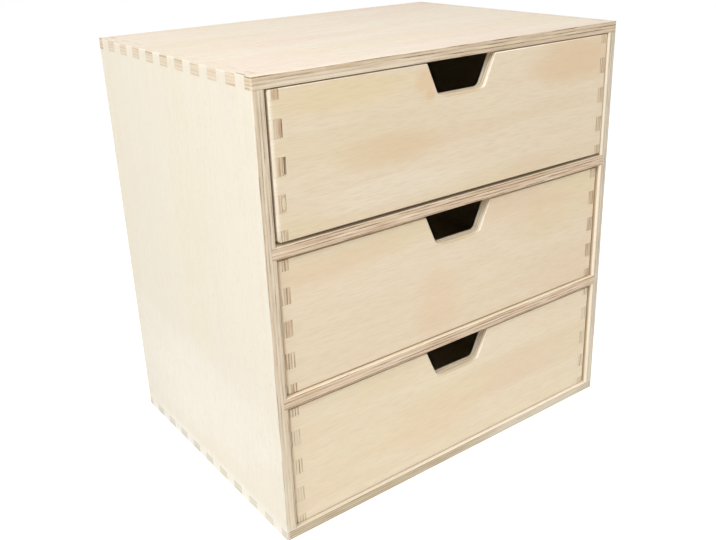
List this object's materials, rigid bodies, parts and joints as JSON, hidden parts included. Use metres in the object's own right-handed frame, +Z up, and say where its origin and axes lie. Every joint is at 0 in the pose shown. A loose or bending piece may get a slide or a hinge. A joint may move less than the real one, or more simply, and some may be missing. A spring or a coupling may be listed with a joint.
{
  "type": "desktop drawer cabinet",
  "caption": "Small plywood cabinet with full-width pull-out drawers, finger-jointed corners and trapezoid finger cut-outs in the drawer fronts.",
  "frame": {"origin": "middle of the cabinet's footprint, on the surface it stands on", "axes": "+Z up, +X to the right seen from the front, drawers open towards -Y"},
  "size_m": [0.328, 0.238, 0.33],
  "materials": {
    "side_ply": "bare sanded birch plywood",
    "level_ply": "bare sanded birch plywood",
    "shelf_ply": "bare sanded birch plywood",
    "back_ply": "bare thin plywood",
    "front_ply": "bare sanded birch plywood",
    "box_ply": "bare birch plywood",
    "floor_ply": "bare thin plywood",
    "brad_steel": "plain wire"
  },
  "bodies": {
    "cabinet": {"left_side": "side_ply", "right_side": "side_ply", "top_panel": "level_ply", "bottom_panel": "level_ply", "upper_shelf": "shelf_ply", "lower_shelf": "shelf_ply", "back_panel": "back_ply", "back_brads": "brad_steel"},
    "top_drawer": {"top_drawer_front": "front_ply", "top_drawer_left": "box_ply", "top_drawer_right": "box_ply", "top_drawer_back": "box_ply", "top_drawer_floor": "floor_ply"},
    "middle_drawer": {"middle_drawer_front": "front_ply", "middle_drawer_left": "box_ply", "middle_drawer_right": "box_ply", "middle_drawer_back": "box_ply", "middle_drawer_floor": "floor_ply"},
    "bottom_drawer": {"bottom_drawer_front": "front_ply", "bottom_drawer_left": "box_ply", "bottom_drawer_right": "box_ply", "bottom_drawer_back": "box_ply", "bottom_drawer_floor": "floor_ply"}
  },
  "joints": [
    {"name": "top_drawer_slide", "type": "slide", "parent": "cabinet", "child": "top_drawer", "axis": [0, -1, 0], "range_m": [-0.0024, 0.1726]},
    {"name": "middle_drawer_slide", "type": "slide", "parent": "cabinet", "child": "middle_drawer", "axis": [0, -1, 0], "range_m": [0, 0.175]},
    {"name": "bottom_drawer_slide", "type": "slide", "parent": "cabinet", "child": "bottom_drawer", "axis": [0, -1, 0], "range_m": [0, 0.175]}
  ]
}
